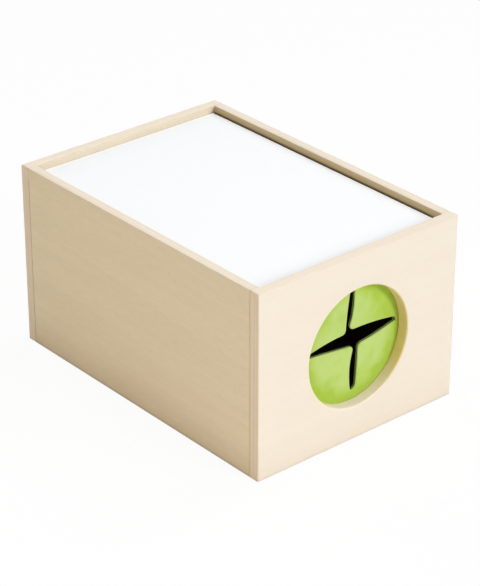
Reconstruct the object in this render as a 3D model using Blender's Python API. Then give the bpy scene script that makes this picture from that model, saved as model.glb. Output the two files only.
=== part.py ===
"""Sensory box: a plywood box with a lift-out lid and a hand hole at each end.

Behind each hole a stretch cover is slit crosswise into four flaps that a hand
pushes aside. Metres, +Z up. The origin is the middle of the base, the length
runs along Y and the front end faces -Y.

Each wall is drawn in its own frame: x to the right as seen from outside, y
inwards from the wall's outer face, z up from the base.
"""

import math
from typing import NamedTuple

import bmesh
import bpy
from mathutils import Matrix, Vector

MM = 0.001

# Box walls
BOX_LENGTH = 300 * MM
BOX_WIDTH = 208 * MM
BOX_HEIGHT = 164 * MM
END_THICKNESS = 10 * MM
SIDE_THICKNESS = 9 * MM
ARRIS_RADIUS = 1.2 * MM
SEAM = 0.3 * MM

# Floor, housed in a groove in every wall
FLOOR_THICKNESS = 5 * MM
FLOOR_RISE = 6 * MM
GROOVE_DEPTH = 4 * MM

# Lid and the ledges that carry it
LID_THICKNESS = 4 * MM
LID_RECESS = 6 * MM
LID_SIDE_GAP = 1.8 * MM
LID_END_GAP = 0.6 * MM
LID_CORNER_RADIUS = 2 * MM
LID_ARRIS_RADIUS = 0.4 * MM
LEDGE_WIDTH = 10 * MM
LEDGE_HEIGHT = 10 * MM

# Hand hole and the stretch cover behind it
HOLE_RADIUS = 52 * MM
HOLE_ARRIS_RADIUS = 1.6 * MM
COVER_THICKNESS = 3 * MM
COVER_INSET = 0.5 * MM
CROSS_SHIFT = 1.5 * MM
CROSS_RISE = 3.3 * MM
SLIT_MARGIN = 5 * MM
TIP_RADIUS = 4 * MM

# Clamp ring and its countersunk wood screws
RING_SETBACK = 1 * MM
RING_WIDTH = 9 * MM
RING_THICKNESS = 6 * MM
RING_CHAMFER = 0.8 * MM
SCREWS_PER_RING = 4
SCREW_DIAMETER = 3 * MM
SCREW_HEAD_DIAMETER = 6 * MM
SCREW_HEAD_HEIGHT = 1.7 * MM
SCREW_POINT = 2.5 * MM
SCREW_BITE = 6 * MM

# Corner dowels
DOWELS_PER_CORNER = 3
DOWEL_DIAMETER = 5 * MM
DOWEL_LENGTH = 30 * MM
DOWEL_IN_END = 6 * MM
DOWEL_INSET = 24 * MM
DOWEL_CHAMFER = 0.6 * MM

# Fineness of round shapes
ARRIS_STEPS = 3
NOSE_STEPS = 6
CURVE_STEPS = 6
SMALL_ROUND_STEPS = 12
LARGE_ROUND_STEPS = 72
SHARP_ANGLE = math.radians(35)
OVERCUT = 2 * MM
MERGE_DISTANCE = 0.001 * MM

# Places that follow from the sizes above
INNER_LENGTH = BOX_LENGTH - 2 * END_THICKNESS
INNER_WIDTH = BOX_WIDTH - 2 * SIDE_THICKNESS
HOLE_CENTRE = BOX_HEIGHT / 2
LID_TOP = BOX_HEIGHT - LID_RECESS
LID_BOTTOM = LID_TOP - LID_THICKNESS
COVER_FRONT = END_THICKNESS + SEAM
COVER_BACK = COVER_FRONT + COVER_THICKNESS
HINGE_DEPTH = COVER_FRONT + COVER_THICKNESS / 2
RING_FRONT = COVER_BACK + SEAM
RING_BACK = RING_FRONT + RING_THICKNESS
RING_INNER_RADIUS = HOLE_RADIUS + RING_SETBACK
RING_OUTER_RADIUS = RING_INNER_RADIUS + RING_WIDTH
SCREW_CIRCLE_RADIUS = RING_INNER_RADIUS + RING_WIDTH / 2
SCREW_LENGTH = RING_BACK - END_THICKNESS + SCREW_BITE
SLIT_REACH = HOLE_RADIUS - SLIT_MARGIN
CROSS_CENTRE = Vector((CROSS_SHIFT, HOLE_CENTRE + CROSS_RISE))

LEFT, RIGHT = Vector((-1, 0, 0)), Vector((1, 0, 0))
OUT, IN = Vector((0, -1, 0)), Vector((0, 1, 0))
DOWN, UP = Vector((0, 0, -1)), Vector((0, 0, 1))

# Turns an axis that points up into one that points into the box, or along the wall
TURN_INWARDS = Matrix.Rotation(math.radians(-90), 4, "X")
TURN_ALONG = Matrix.Rotation(math.radians(90), 4, "Y")


class Flap(NamedTuple):
    """One quarter of the slit cover, as it lies at rest."""

    side: int  # -1 at the left of the upright slit, 1 at its right
    level: int  # 1 above the level slit, -1 below it
    tip: tuple  # x and z from the cross's centre, where the cut edges would meet
    level_gap: float  # from the level slit's middle line to the flap, at the slit's end
    level_bow: float  # how far the edge along the level slit is bowed into the flap
    upright_gap: float  # the same two for the edge along the upright slit
    upright_bow: float


FLAPS = {
    "upper_left": Flap(-1, 1, (-7.5 * MM, 6.3 * MM), 0.4 * MM, 2.5 * MM, 1.6 * MM, 1.5 * MM),
    "upper_right": Flap(1, 1, (-5.7 * MM, 8.5 * MM), 3.6 * MM, 2.4 * MM, 2 * MM, 4.5 * MM),
    "lower_right": Flap(1, -1, (5 * MM, -6.1 * MM), 2 * MM, 0.3 * MM, 4.8 * MM, 0.6 * MM),
    "lower_left": Flap(-1, -1, (1.6 * MM, -7 * MM), 2.4 * MM, -0.9 * MM, 0.4 * MM, 5.1 * MM),
}


def clear_scene():
    for leftover in list(bpy.data.objects):
        bpy.data.objects.remove(leftover)


# Materials


def linear_colour(hex_code):
    """A colour written as an sRGB hex code, as the linear values that shaders use."""
    channels = [int(hex_code[i:i + 2], 16) / 255 for i in (1, 3, 5)]
    return [c / 12.92 if c <= 0.04045 else ((c + 0.055) / 1.055) ** 2.4 for c in channels]


def make_material(name, hex_code, roughness, metallic=0.0):
    material = bpy.data.materials.new(name)
    material.use_nodes = True
    shader = material.node_tree.nodes["Principled BSDF"]
    shader.inputs["Base Color"].default_value = (*linear_colour(hex_code), 1)
    shader.inputs["Roughness"].default_value = roughness
    shader.inputs["Metallic"].default_value = metallic
    return material


# Shapes


def add_block(bm, low, high):
    """Add a box between two opposite corners."""
    low, high = Vector(low), Vector(high)
    place = Matrix.Translation((low + high) / 2) @ Matrix.Diagonal((*(high - low), 1))
    bmesh.ops.create_cube(bm, size=1, matrix=place)


def add_prism(bm, outline, near, far):
    """Add a straight-sided solid: (x, z) outline points carried from depth near to depth far."""
    face = bm.faces.new([bm.verts.new((x, near, z)) for x, z in outline])
    pushed = bmesh.ops.extrude_face_region(bm, geom=[face], use_keep_orig=True)["geom"]
    moved = [item for item in pushed if isinstance(item, bmesh.types.BMVert)]
    bmesh.ops.translate(bm, verts=moved, vec=(0, far - near, 0))


def add_turning(bm, profile, steps, place):
    """Add a turned solid: (radius, height) points spun about the z axis, then placed."""
    verts = [bm.verts.new(place @ Vector((radius, 0, height))) for radius, height in profile]
    edges = [bm.edges.new(pair) for pair in zip(verts, verts[1:])]
    axis = place.to_3x3() @ UP
    bmesh.ops.spin(bm, geom=verts + edges, cent=place.translation, axis=axis, angle=math.tau,
                   steps=steps, use_merge=True)
    bmesh.ops.remove_doubles(bm, verts=bm.verts, dist=MERGE_DISTANCE)


def ease_edges(bm, meetings, radius, within=math.inf):
    """Round the edges where the given pairs of sides meet, up to a distance from the middle in x."""
    def wanted(edge):
        normals = [face.normal for face in edge.link_faces]
        middle = (edge.verts[0].co + edge.verts[1].co) / 2
        if len(normals) != 2 or abs(middle.x) > within:
            return False
        return any({tuple(round(n) for n in normal) for normal in normals}
                   == {tuple(round(n) for n in side) for side in pair} for pair in meetings)

    bm.normal_update()
    edges = [edge for edge in bm.edges if wanted(edge)]
    bmesh.ops.bevel(bm, geom=edges, offset=radius, segments=ARRIS_STEPS, profile=0.5,
                    affect="EDGES", clamp_overlap=True)


def finish_mesh(name, bm):
    """Turn a bmesh into a mesh with its faces pointing out and its round parts shaded smooth."""
    bmesh.ops.recalc_face_normals(bm, faces=bm.faces)
    mesh = bpy.data.meshes.new(name)
    bm.to_mesh(mesh)
    bm.free()
    shade(mesh)
    return mesh


def shade(mesh):
    mesh.shade_smooth()
    mesh.set_sharp_from_angle(angle=SHARP_ANGLE)


# Objects


def add_object(name, data, parent=None, location=(0, 0, 0), turn=0.0):
    thing = bpy.data.objects.new(name, data)
    thing.parent = parent
    thing.location = location
    thing.rotation_euler.z = turn
    bpy.context.scene.collection.objects.link(thing)
    return thing


def add_piece(name, bm, material, frame):
    """Add a piece drawn in a wall's frame, with its origin at the middle of its bounds."""
    corners = [vert.co for vert in bm.verts]
    low = Vector(min(co[i] for co in corners) for i in range(3))
    high = Vector(max(co[i] for co in corners) for i in range(3))
    return add_piece_about(name, bm, material, frame, (low + high) / 2)


def add_piece_about(name, bm, material, frame, origin):
    """Add a piece drawn in a wall's frame, with its origin at a given point of that frame."""
    bmesh.ops.translate(bm, verts=bm.verts, vec=-origin)
    mesh = finish_mesh(name, bm)
    mesh.materials.append(material)
    return add_object(name, mesh, frame, origin)


def carve(piece, cuts):
    """Cut shapes, drawn in the frame of the piece's wall, out of the piece."""
    cutter = add_object(piece.name + "_cuts", finish_mesh("cuts", cuts), piece.parent)
    modifier = piece.modifiers.new("cuts", "BOOLEAN")
    modifier.object = cutter
    modifier.operation = "DIFFERENCE"
    modifier.solver = "EXACT"
    graph = bpy.context.evaluated_depsgraph_get()
    uncut = piece.data
    piece.data = bpy.data.meshes.new_from_object(piece.evaluated_get(graph), depsgraph=graph)
    piece.modifiers.clear()
    piece.data.name = piece.name
    shade(piece.data)
    bpy.data.meshes.remove(uncut)
    bpy.data.meshes.remove(cutter.data)


# Fixings


def dowel_heights():
    span = BOX_HEIGHT - 2 * DOWEL_INSET
    return [DOWEL_INSET + span * i / (DOWELS_PER_CORNER - 1) for i in range(DOWELS_PER_CORNER)]


def screw_places():
    """Where the screw heads lie on the back of a clamp ring, in the end's frame."""
    for i in range(SCREWS_PER_RING):
        angle = math.tau * (i + 0.5) / SCREWS_PER_RING
        across = SCREW_CIRCLE_RADIUS * math.cos(angle)
        height = HOLE_CENTRE + SCREW_CIRCLE_RADIUS * math.sin(angle)
        yield Matrix.Translation((across, RING_BACK, height)) @ TURN_INWARDS


def add_screw(bm, place):
    head, shank = SCREW_HEAD_DIAMETER / 2, SCREW_DIAMETER / 2
    profile = [(0, 0), (head, 0), (shank, -SCREW_HEAD_HEIGHT),
               (shank, SCREW_POINT - SCREW_LENGTH), (0, -SCREW_LENGTH)]
    add_turning(bm, profile, SMALL_ROUND_STEPS, place)


def add_screw_bore(bm, place):
    """Countersunk bore that clears a screw by the seam all round."""
    head, shank = SCREW_HEAD_DIAMETER / 2 + SEAM, SCREW_DIAMETER / 2 + SEAM
    bottom = -SCREW_LENGTH - SEAM
    profile = [(0, OVERCUT), (head, OVERCUT), (head, -SEAM), (shank, -SCREW_HEAD_HEIGHT - SEAM),
               (shank, bottom), (0, bottom)]
    add_turning(bm, profile, SMALL_ROUND_STEPS, place)


def add_dowel(bm, place):
    radius, half = DOWEL_DIAMETER / 2, DOWEL_LENGTH / 2
    slim = radius - DOWEL_CHAMFER
    profile = [(0, half), (slim, half), (radius, half - DOWEL_CHAMFER),
               (radius, DOWEL_CHAMFER - half), (slim, -half), (0, -half)]
    add_turning(bm, profile, SMALL_ROUND_STEPS, place)


def add_dowel_bore(bm, place):
    """Bore that clears a dowel by the seam all round."""
    radius, half = DOWEL_DIAMETER / 2 + SEAM, DOWEL_LENGTH / 2 + SEAM
    profile = [(0, half), (radius, half), (radius, -half), (0, -half)]
    add_turning(bm, profile, SMALL_ROUND_STEPS, place)


# Walls, floor and lid


def dowel_places_in_end():
    """Dowel middles in an end panel's frame, with the dowel's axis running into the box."""
    depth = END_THICKNESS - DOWEL_IN_END + DOWEL_LENGTH / 2
    for side in (-1, 1):
        across = side * (BOX_WIDTH - SIDE_THICKNESS) / 2
        for height in dowel_heights():
            yield Matrix.Translation((across, depth, height)) @ TURN_INWARDS


def dowel_places_in_side(end):
    """Dowel middles in a side panel's frame, at its left end (-1) or its right end (1)."""
    reach = BOX_LENGTH / 2 - END_THICKNESS + DOWEL_IN_END - DOWEL_LENGTH / 2
    for height in dowel_heights():
        yield Matrix.Translation((end * reach, SIDE_THICKNESS / 2, height)) @ TURN_ALONG


def add_floor_groove(bm, half_width, thickness):
    """Groove for the floor along a wall's inner face."""
    depth = thickness - GROOVE_DEPTH
    low = FLOOR_RISE - SEAM
    high = FLOOR_RISE + FLOOR_THICKNESS + SEAM
    add_block(bm, (-half_width, depth, low), (half_width, thickness + OVERCUT, high))


def add_hand_hole(bm):
    """Cutter for the round hole, flared at the outer face so that the hole's edge comes out rounded."""
    wide = HOLE_RADIUS + HOLE_ARRIS_RADIUS
    start, stop = -OVERCUT, END_THICKNESS + OVERCUT
    profile = [(0, start), (wide, start)]
    for i in range(ARRIS_STEPS + 1):
        angle = math.radians(90) * i / ARRIS_STEPS
        depth = HOLE_ARRIS_RADIUS * (1 - math.cos(angle))
        profile.append((wide - HOLE_ARRIS_RADIUS * math.sin(angle), depth))
    profile += [(HOLE_RADIUS, stop), (0, stop)]
    place = Matrix.Translation((0, 0, HOLE_CENTRE)) @ TURN_INWARDS
    add_turning(bm, profile, LARGE_ROUND_STEPS, place)


def build_end_panel(name, frame, plywood):
    """Full-width end wall with the hand hole; its inner top edge is eased between the side panels."""
    bm = bmesh.new()
    add_block(bm, (-BOX_WIDTH / 2, 0, 0), (BOX_WIDTH / 2, END_THICKNESS, BOX_HEIGHT))
    for across in (-INNER_WIDTH / 2, INNER_WIDTH / 2):
        geometry = bm.verts[:] + bm.edges[:] + bm.faces[:]
        bmesh.ops.bisect_plane(bm, geom=geometry, plane_co=(across, 0, 0), plane_no=RIGHT)
    ease_edges(bm, [(IN, UP)], ARRIS_RADIUS, within=INNER_WIDTH / 2)
    corners = [(level, side) for level in (UP, DOWN) for side in (LEFT, RIGHT)]
    ease_edges(bm, [(OUT, side) for side in (UP, DOWN, LEFT, RIGHT)] + corners, ARRIS_RADIUS)
    panel = add_piece(name, bm, plywood, frame)

    cuts = bmesh.new()
    add_hand_hole(cuts)
    add_floor_groove(cuts, INNER_WIDTH / 2 + GROOVE_DEPTH, END_THICKNESS)
    for place in dowel_places_in_end():
        add_dowel_bore(cuts, place)
    for place in screw_places():
        add_screw_bore(cuts, place)
    carve(panel, cuts)


def build_side_panel(name, frame, plywood):
    """Long wall that fits between the end panels."""
    half = INNER_LENGTH / 2 - SEAM
    bm = bmesh.new()
    add_block(bm, (-half, 0, 0), (half, SIDE_THICKNESS, BOX_HEIGHT))
    ease_edges(bm, [(OUT, UP), (OUT, DOWN), (IN, UP)], ARRIS_RADIUS)
    panel = add_piece(name, bm, plywood, frame)

    cuts = bmesh.new()
    add_floor_groove(cuts, INNER_LENGTH / 2 + OVERCUT, SIDE_THICKNESS)
    for end in (-1, 1):
        for place in dowel_places_in_side(end):
            add_dowel_bore(cuts, place)
    carve(panel, cuts)


def build_dowels(side_name, end_names, frame, beech):
    """Dowels at both ends of a side panel; end_names are the ends at its left and right."""
    for end, end_name in zip((-1, 1), end_names):
        for number, place in enumerate(dowel_places_in_side(end), start=1):
            bm = bmesh.new()
            add_dowel(bm, place)
            add_piece(f"dowel_{end_name}_{side_name}_{number}", bm, beech, frame)


def build_ledge(name, frame, beech):
    """Strip glued inside a side panel, which the lid rests on."""
    half = INNER_LENGTH / 2 - SEAM
    near = SIDE_THICKNESS + SEAM
    top = LID_BOTTOM - SEAM
    bm = bmesh.new()
    add_block(bm, (-half, near, top - LEDGE_HEIGHT), (half, near + LEDGE_WIDTH, top))
    ease_edges(bm, [(IN, UP), (IN, DOWN)], ARRIS_RADIUS)
    add_piece(name, bm, beech, frame)


def build_floor(plywood):
    half_width = INNER_WIDTH / 2 + GROOVE_DEPTH - SEAM
    half_length = INNER_LENGTH / 2 + GROOVE_DEPTH - SEAM
    bm = bmesh.new()
    add_block(bm, (-half_width, -half_length, FLOOR_RISE),
              (half_width, half_length, FLOOR_RISE + FLOOR_THICKNESS))
    add_piece("floor", bm, plywood, None)


def build_lid(laminate):
    """Plain board with rounded corners that lifts straight out."""
    half_width = INNER_WIDTH / 2 - LID_SIDE_GAP
    half_length = INNER_LENGTH / 2 - LID_END_GAP
    bm = bmesh.new()
    add_block(bm, (-half_width, -half_length, LID_BOTTOM), (half_width, half_length, LID_TOP))
    upright = [(across, along) for across in (LEFT, RIGHT) for along in (OUT, IN)]
    ease_edges(bm, upright, LID_CORNER_RADIUS)
    bm.normal_update()
    faces = [face for face in bm.faces if abs(round(face.normal.z)) == 1]
    rims = {edge for face in faces for edge in face.edges}
    bmesh.ops.bevel(bm, geom=list(rims), offset=LID_ARRIS_RADIUS, segments=1, affect="EDGES")
    add_piece("lid", bm, laminate, None)


# Stretch cover


def rounded_corner(before, corner, after):
    """Arc of the tip radius that rounds the corner between two straight directions."""
    to_before = (before - corner).normalized()
    to_after = (after - corner).normalized()
    half_angle = to_before.angle(to_after) / 2
    bisector = (to_before + to_after).normalized()
    centre = corner + bisector * TIP_RADIUS / math.sin(half_angle)
    tangent = TIP_RADIUS / math.tan(half_angle)
    first = (corner + to_before * tangent - centre).normalized()
    last = (corner + to_after * tangent - centre).normalized()
    turns = [first.slerp(last, i / CURVE_STEPS) for i in range(CURVE_STEPS + 1)]
    return [centre + turn * TIP_RADIUS for turn in turns]


def bowed_edge(start, control, end):
    """Points of a quadratic curve, without its end."""
    for i in range(CURVE_STEPS):
        t = i / CURVE_STEPS
        yield start * (1 - t) ** 2 + control * 2 * t * (1 - t) + end * t ** 2


def flap_outline(flap):
    """Outline of a flap from the cross's centre, from one end of its fold line to the other."""
    level_start = Vector((flap.side * (SLIT_REACH - flap.level_gap), flap.level * flap.level_gap))
    upright_start = Vector((flap.side * flap.upright_gap, flap.level * (SLIT_REACH - flap.upright_gap)))
    tip = Vector(flap.tip)
    level_control = (level_start + tip) / 2 + Vector((0, flap.level * flap.level_bow))
    upright_control = (upright_start + tip) / 2 + Vector((flap.side * flap.upright_bow, 0))
    arc = rounded_corner(level_control, tip, upright_control)
    level_edge = list(bowed_edge(level_start, level_control, arc[0]))
    upright_edge = list(bowed_edge(upright_start, upright_control, arc[-1]))
    return level_edge + arc + upright_edge[::-1]


def build_flap(name, flap, frame, neoprene):
    """One flap, with a half-round nose about the fold line and its origin on that line."""
    places = [CROSS_CENTRE + point for point in flap_outline(flap)]
    outline = [Vector((x, 0, z)) for x, z in places]
    middle = Vector((0, HINGE_DEPTH, 0))
    half = COVER_THICKNESS / 2
    away = Vector((flap.side, 0, flap.level)).normalized()
    bm = bmesh.new()
    front = [bm.verts.new(point + middle + OUT * half) for point in outline]
    back = [bm.verts.new(point + middle + IN * half) for point in outline]

    def nose(end):
        """Verts round the nose at one end of the fold line, from the front face to the back."""
        turns = [math.pi * i / NOSE_STEPS for i in range(1, NOSE_STEPS)]
        arc = [outline[end] + middle + (OUT * math.cos(a) + away * math.sin(a)) * half for a in turns]
        return [front[end], *(bm.verts.new(point) for point in arc), back[end]]

    first_nose, last_nose = nose(0), nose(-1)
    bm.faces.new(front)
    bm.faces.new(back[::-1])
    bm.faces.new(first_nose)
    bm.faces.new(last_nose[::-1])
    for one, other in ((front, back), (first_nose, last_nose)):
        for i in range(len(one) - 1):
            bm.faces.new((one[i], one[i + 1], other[i + 1], other[i]))
    fold_middle = (outline[0] + outline[-1]) / 2 + middle
    add_piece_about(name, bm, neoprene, frame, fold_middle)


def build_cover_rim(name, frame, neoprene):
    """Clamped part of the cover; the four fold lines bound its square opening."""
    place = Matrix.Translation((0, COVER_FRONT, HOLE_CENTRE)) @ TURN_INWARDS
    radius = RING_OUTER_RADIUS - COVER_INSET
    bm = bmesh.new()
    profile = [(0, 0), (radius, 0), (radius, COVER_THICKNESS), (0, COVER_THICKNESS)]
    add_turning(bm, profile, LARGE_ROUND_STEPS, place)
    rim = add_piece(name, bm, neoprene, frame)

    reach = SLIT_REACH + (COVER_THICKNESS / 2 + SEAM) * math.sqrt(2)
    corners = [Vector(corner) * reach for corner in ((1, 0), (0, 1), (-1, 0), (0, -1))]
    cuts = bmesh.new()
    add_prism(cuts, [CROSS_CENTRE + corner for corner in corners],
              COVER_FRONT - OVERCUT, COVER_BACK + OVERCUT)
    for place in screw_places():
        add_screw_bore(cuts, place)
    carve(rim, cuts)


def build_clamp_ring(name, frame, plywood):
    """Turned ring that holds the cover against the end panel."""
    ease = RING_CHAMFER
    inner, outer = RING_INNER_RADIUS, RING_OUTER_RADIUS
    profile = [(inner, 0), (outer, 0), (outer, RING_THICKNESS - ease), (outer - ease, RING_THICKNESS),
               (inner + ease, RING_THICKNESS), (inner, RING_THICKNESS - ease), (inner, 0)]
    place = Matrix.Translation((0, RING_FRONT, HOLE_CENTRE)) @ TURN_INWARDS
    bm = bmesh.new()
    add_turning(bm, profile, LARGE_ROUND_STEPS, place)
    ring = add_piece(name, bm, plywood, frame)

    cuts = bmesh.new()
    for place in screw_places():
        add_screw_bore(cuts, place)
    carve(ring, cuts)


def build_ring_screws(end_name, frame, steel):
    for number, place in enumerate(screw_places(), start=1):
        bm = bmesh.new()
        add_screw(bm, place)
        add_piece(f"{end_name}_ring_screw_{number}", bm, steel, frame)


# Assembly


def build_end(end_name, frame, materials):
    build_end_panel(f"{end_name}_panel", frame, materials["plywood"])
    build_cover_rim(f"{end_name}_cover_rim", frame, materials["neoprene"])
    for flap_name, flap in FLAPS.items():
        build_flap(f"{end_name}_flap_{flap_name}", flap, frame, materials["neoprene"])
    build_clamp_ring(f"{end_name}_clamp_ring", frame, materials["plywood"])
    build_ring_screws(end_name, frame, materials["steel"])


def build_side(side_name, end_names, frame, materials):
    build_side_panel(f"{side_name}_panel", frame, materials["plywood"])
    build_ledge(f"{side_name}_ledge", frame, materials["beech"])
    build_dowels(side_name, end_names, frame, materials["beech"])


def main():
    clear_scene()
    materials = {
        "plywood": make_material("birch plywood", "#EBDCC3", 0.55),
        "beech": make_material("beech", "#D9B98C", 0.6),
        "laminate": make_material("white laminate", "#F7F9FB", 0.35),
        "neoprene": make_material("lime neoprene", "#B4D465", 0.85),
        "steel": make_material("zinc-plated steel", "#B9BBBD", 0.35, 1.0),
    }
    front = add_object("front_end", None, location=(0, -BOX_LENGTH / 2, 0))
    rear = add_object("rear_end", None, location=(0, BOX_LENGTH / 2, 0), turn=math.pi)
    left = add_object("left_side", None, location=(-BOX_WIDTH / 2, 0, 0), turn=-math.pi / 2)
    right = add_object("right_side", None, location=(BOX_WIDTH / 2, 0, 0), turn=math.pi / 2)
    build_end("front", front, materials)
    build_end("rear", rear, materials)
    build_side("left", ("rear", "front"), left, materials)
    build_side("right", ("front", "rear"), right, materials)
    build_floor(materials["plywood"])
    build_lid(materials["laminate"])


main()
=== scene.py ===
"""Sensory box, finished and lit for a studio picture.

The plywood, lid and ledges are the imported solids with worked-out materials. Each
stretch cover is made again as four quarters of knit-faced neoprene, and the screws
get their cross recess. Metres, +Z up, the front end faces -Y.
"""

import math
from typing import NamedTuple

import bmesh
import bpy
from mathutils import Matrix, Vector


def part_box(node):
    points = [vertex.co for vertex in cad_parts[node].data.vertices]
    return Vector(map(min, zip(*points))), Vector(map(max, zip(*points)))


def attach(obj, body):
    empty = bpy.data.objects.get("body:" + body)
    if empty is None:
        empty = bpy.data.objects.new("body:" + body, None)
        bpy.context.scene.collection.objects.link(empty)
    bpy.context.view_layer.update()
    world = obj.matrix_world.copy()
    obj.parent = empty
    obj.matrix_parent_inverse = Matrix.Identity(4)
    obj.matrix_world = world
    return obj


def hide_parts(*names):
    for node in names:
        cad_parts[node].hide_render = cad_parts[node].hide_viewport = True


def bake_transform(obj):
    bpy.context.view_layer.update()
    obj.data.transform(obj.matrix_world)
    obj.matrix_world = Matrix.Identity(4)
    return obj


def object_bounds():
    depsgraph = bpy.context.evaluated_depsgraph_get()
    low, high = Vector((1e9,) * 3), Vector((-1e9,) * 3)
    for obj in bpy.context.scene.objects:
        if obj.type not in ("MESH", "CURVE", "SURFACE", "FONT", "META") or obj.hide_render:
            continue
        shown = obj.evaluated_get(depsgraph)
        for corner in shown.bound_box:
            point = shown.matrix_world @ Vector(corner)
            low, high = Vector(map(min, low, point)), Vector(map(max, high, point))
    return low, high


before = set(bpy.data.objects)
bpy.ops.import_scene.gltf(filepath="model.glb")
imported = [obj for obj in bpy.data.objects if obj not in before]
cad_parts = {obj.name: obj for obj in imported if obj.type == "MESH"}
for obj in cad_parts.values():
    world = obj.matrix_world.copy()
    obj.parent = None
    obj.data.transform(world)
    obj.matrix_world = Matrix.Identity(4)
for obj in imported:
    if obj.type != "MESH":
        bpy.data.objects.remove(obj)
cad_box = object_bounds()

MM = 0.001
X, Y, Z = range(3)
HALF_WAY = 0.5
QUARTER_TURN = math.radians(90)

# Stretch cover, as the solids have it
HOLE_RADIUS = 52 * MM
COVER_THICKNESS = 3 * MM
CROSS_SHIFT = 1.5 * MM
CROSS_RISE = 3.3 * MM
SLIT_REACH = 47 * MM
TIP_RADIUS = 4 * MM
HOLE_FROM_CROSS = Vector((-CROSS_SHIFT, -CROSS_RISE))

# The fabric swells out of the hole a little
COVER_CROWN = 1.6 * MM

# Cut edges of the cover: two knit skins that roll over a slightly sunk foam core
SKIN_THICKNESS = 0.8 * MM
SKIN_ROLL = 1.0 * MM
CORE_SINK = 0.12 * MM
KNIT, CUT_SKIN, CORE = range(3)

# Knit of the skins; real stitches are under 1 mm, and these are drawn wider so that they just show
STITCH = 1.5 * MM
ROW_RELIEF = 0.3

# Countersunk screws of the clamp rings
SCREW_SHANK_RADIUS = 1.5 * MM
SCREW_HEAD_HEIGHT = 1.7 * MM
SCREW_POINT = 2.5 * MM
SCREW_CLEARANCE = 0.3 * MM
RECESS_ARMS = 4
RECESS_REACH = 1.7 * MM
RECESS_HALF_WIDTH = 0.42 * MM
RECESS_DEPTH = 1.3 * MM
RECESS_TAPER = 0.45

# Fineness of the meshes
SLIT_END_STEPS = 4
EDGE_STEPS = 14
TIP_STEPS = 8
ROLL_STEPS = 3
COVER_ROWS = 24
BORE_STEPS = 16
SCREW_STEPS = 32
FLOOR_STEPS = 64
MERGE_DISTANCE = 0.001 * MM
SHARP_ANGLE = math.radians(40)

# Detail of a noise: the octaves that it has beyond its first
SMOOTH, SOFT, FINE, RICH = range(4)

# Picture: a long lens from the front left and above
SENSOR_HEIGHT = 36
LENS = 143.6
CAMERA_AZIMUTH = -40.35
CAMERA_ELEVATION = 28.05
CAMERA_DISTANCE = 1.9005
CAMERA_TARGET = Vector((-12.6 * MM, -21.2 * MM, 82 * MM))
FLOOR_RADIUS = 6

# Colours that several pieces share
END_BIRCH = "#EFE3D2"
END_INSIDE_BIRCH = "#E0D3BB"
# The sides' face veneer is partly a warmer sheet and partly painted warm shade; their inner veneer is
# painted darker, as shade on the side walls' inner faces
SIDE_BIRCH_WITH_WARM_SHADE = "#F3DDB6"
SIDE_INSIDE_SHADED_BIRCH = "#CFB787"
BIRCH_EDGE = "#ECE3D4"
BIRCH_END_GRAIN = "#F0D3AB"
BIRCH_LATE_WOOD = "#A9834F"
# Brown painted as shade inside the box and in the lid's gap, and as contact shade along the bottom edges
SHADE_BROWN = "#44382A"
WHITE = "#FFFFFF"
BLACK = "#000000"

box_low, box_high = cad_box
BOX_MIDDLE = (box_low + box_high) / 2


class Flap(NamedTuple):
    """One quarter of a slit cover, as it lies at rest, seen from outside."""

    side: int  # -1 at the left of the upright slit, 1 at its right
    level: int  # 1 above the level slit, -1 below it
    tip: tuple  # x and z from the cross's centre, where the cut edges would meet
    level_gap: float  # from the level slit's middle line to the flap, at the slit's end
    level_bow: float  # how far the edge along the level slit is bowed into the flap
    upright_gap: float  # the same two for the edge along the upright slit
    upright_bow: float
    lean: float  # how far the tip leans into the box


FLAPS = {
    "upper_left": Flap(-1, 1, (-7.5 * MM, 6.3 * MM), 0.4 * MM, 2.5 * MM, 1.6 * MM, 1.5 * MM, 0.6 * MM),
    "upper_right": Flap(1, 1, (-5.7 * MM, 8.5 * MM), 3.6 * MM, 2.4 * MM, 2 * MM, 4.5 * MM, -0.3 * MM),
    "lower_right": Flap(1, -1, (5 * MM, -6.1 * MM), 0.4 * MM, 1.5 * MM, 4.8 * MM, 0.6 * MM, -0.6 * MM),
    "lower_left": Flap(-1, -1, (1.6 * MM, -7 * MM), 2.4 * MM, -0.9 * MM, 0.4 * MM, 5.1 * MM, 0.5 * MM),
}


class Board(NamedTuple):
    """A plywood board, and how its veneers lie."""

    node: str
    layer_axis: int  # across the plies
    outwards: int  # 1 or -1, the way that its outer face looks along that axis
    grain_axis: int  # along the grain of the face veneers
    face: str  # colour of the outer face
    back: str  # colour of the inner face
    shade_top: float  # height up to which the inner face is painted dark, as shade inside the box
    figure: float = 1.0  # how strongly its grain, its darkening towards the bottom and its painted contact shade show
    bored: bool = False  # whether it has a hand hole


# Materials


def linear_colour(hex_code):
    """A colour written as an sRGB hex code, as the linear values that shaders use, by sRGB's own formula."""
    channels = [int(hex_code[i:i + 2], 16) / 255 for i in (1, 3, 5)]
    linear = [c / 12.92 if c <= 0.04045 else ((c + 0.055) / 1.055) ** 2.4 for c in channels]
    return (*linear, 1)


def set_inputs(tree, node, inputs):
    """Give inputs, by name or number, a value each, or link a node or socket to them."""
    for key, value in inputs.items():
        named = [socket for socket in node.inputs if socket.enabled and socket.name == key]
        socket = named[0] if named else node.inputs[key]
        if isinstance(value, bpy.types.Node):
            value = next(output for output in value.outputs if output.enabled)
        if isinstance(value, bpy.types.NodeSocket):
            tree.links.new(value, socket)
        else:
            socket.default_value = value


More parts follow.
